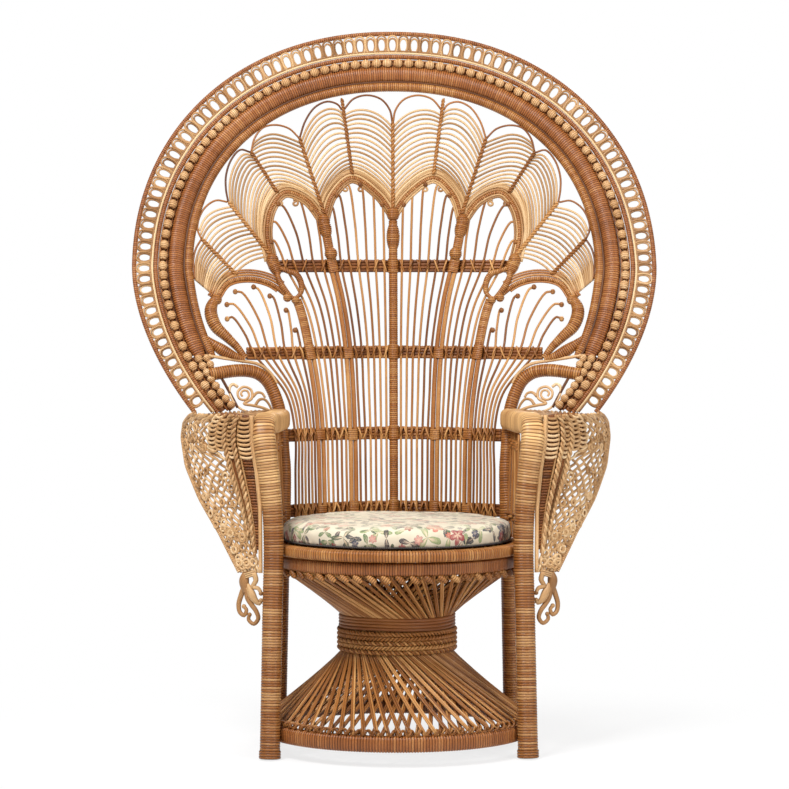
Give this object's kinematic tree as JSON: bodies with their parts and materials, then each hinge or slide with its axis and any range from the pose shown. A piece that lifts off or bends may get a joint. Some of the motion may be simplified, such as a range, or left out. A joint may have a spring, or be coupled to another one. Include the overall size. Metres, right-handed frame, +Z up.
{
  "type": "peacock chair",
  "caption": "Woven cane armchair with an hourglass base, a round seat with a loose printed cushion, lace cape arms and a tall fan back in a layered round halo.",
  "frame": {"origin": "middle of the chair's footprint box, on the floor", "axes": "+X to the viewer's right of a chair seen from the front, -Y toward the front, +Z up"},
  "size_m": [1.083, 0.6684, 1.4814],
  "materials": {
    "wrapped_cane": "cane poles wrapped in split cane, satin varnish",
    "split_cane": "thin split cane strands, satin varnish",
    "cushion_fabric": "woven cotton with a small floral print",
    "cushion_cord": "dark covered cord"
  },
  "bodies": {
    "chair": {"arm_edge_cane_left": "wrapped_cane", "arm_edge_cane_right": "wrapped_cane", "arm_lace_left": "split_cane", "arm_lace_right": "split_cane", "arm_side_spokes_left": "split_cane", "arm_side_spokes_right": "split_cane", "arm_tassel_left": "split_cane", "arm_tassel_right": "split_cane", "arm_top_left": "split_cane", "arm_top_right": "split_cane", "back_bay_inner_left": "split_cane", "back_bay_inner_right": "split_cane", "back_bay_middle_left": "split_cane", "back_bay_middle_right": "split_cane", "back_bay_outer_left": "split_cane", "back_bay_outer_right": "split_cane", "back_rib_centre": "wrapped_cane", "back_rib_inner_left": "wrapped_cane", "back_rib_inner_right": "wrapped_cane", "back_rib_outer_left": "wrapped_cane", "back_rib_outer_right": "wrapped_cane", "base_hoop": "wrapped_cane", "fan_border": "wrapped_cane", "feather_inner_left": "split_cane", "feather_inner_right": "split_cane", "feather_middle_left": "split_cane", "feather_middle_right": "split_cane", "feather_outer_left": "split_cane", "feather_outer_right": "split_cane", "front_pole_left": "wrapped_cane", "front_pole_right": "wrapped_cane", "halo_bead_row": "split_cane", "halo_inner_hoop": "wrapped_cane", "halo_loop_lace": "split_cane", "halo_middle_hoop": "wrapped_cane", "halo_outer_hoop": "wrapped_cane", "halo_wide_band": "wrapped_cane", "hourglass_strands_inner": "split_cane", "hourglass_strands_outer": "split_cane", "rear_pole_left": "wrapped_cane", "rear_pole_right": "wrapped_cane", "seat_apron": "wrapped_cane", "seat_bar_left": "wrapped_cane", "seat_bar_right": "wrapped_cane", "seat_deck": "split_cane", "seat_hoop": "wrapped_cane", "shoulder_scroll_left": "wrapped_cane", "shoulder_scroll_right": "wrapped_cane", "side_arch_left": "wrapped_cane", "side_arch_right": "wrapped_cane", "valley_rod_centre": "wrapped_cane", "valley_rod_inner_left": "wrapped_cane", "valley_rod_inner_right": "wrapped_cane", "valley_rod_outer_left": "wrapped_cane", "valley_rod_outer_right": "wrapped_cane", "waist_binding": "wrapped_cane"},
    "cushion": {"cushion_pad": "cushion_fabric", "cushion_piping": "cushion_cord"}
  },
  "joints": [
    {"name": "cushion_lift", "type": "slide", "parent": "chair", "child": "cushion", "axis": [0, 0, 1], "range_m": [0, 0.15]}
  ]
}
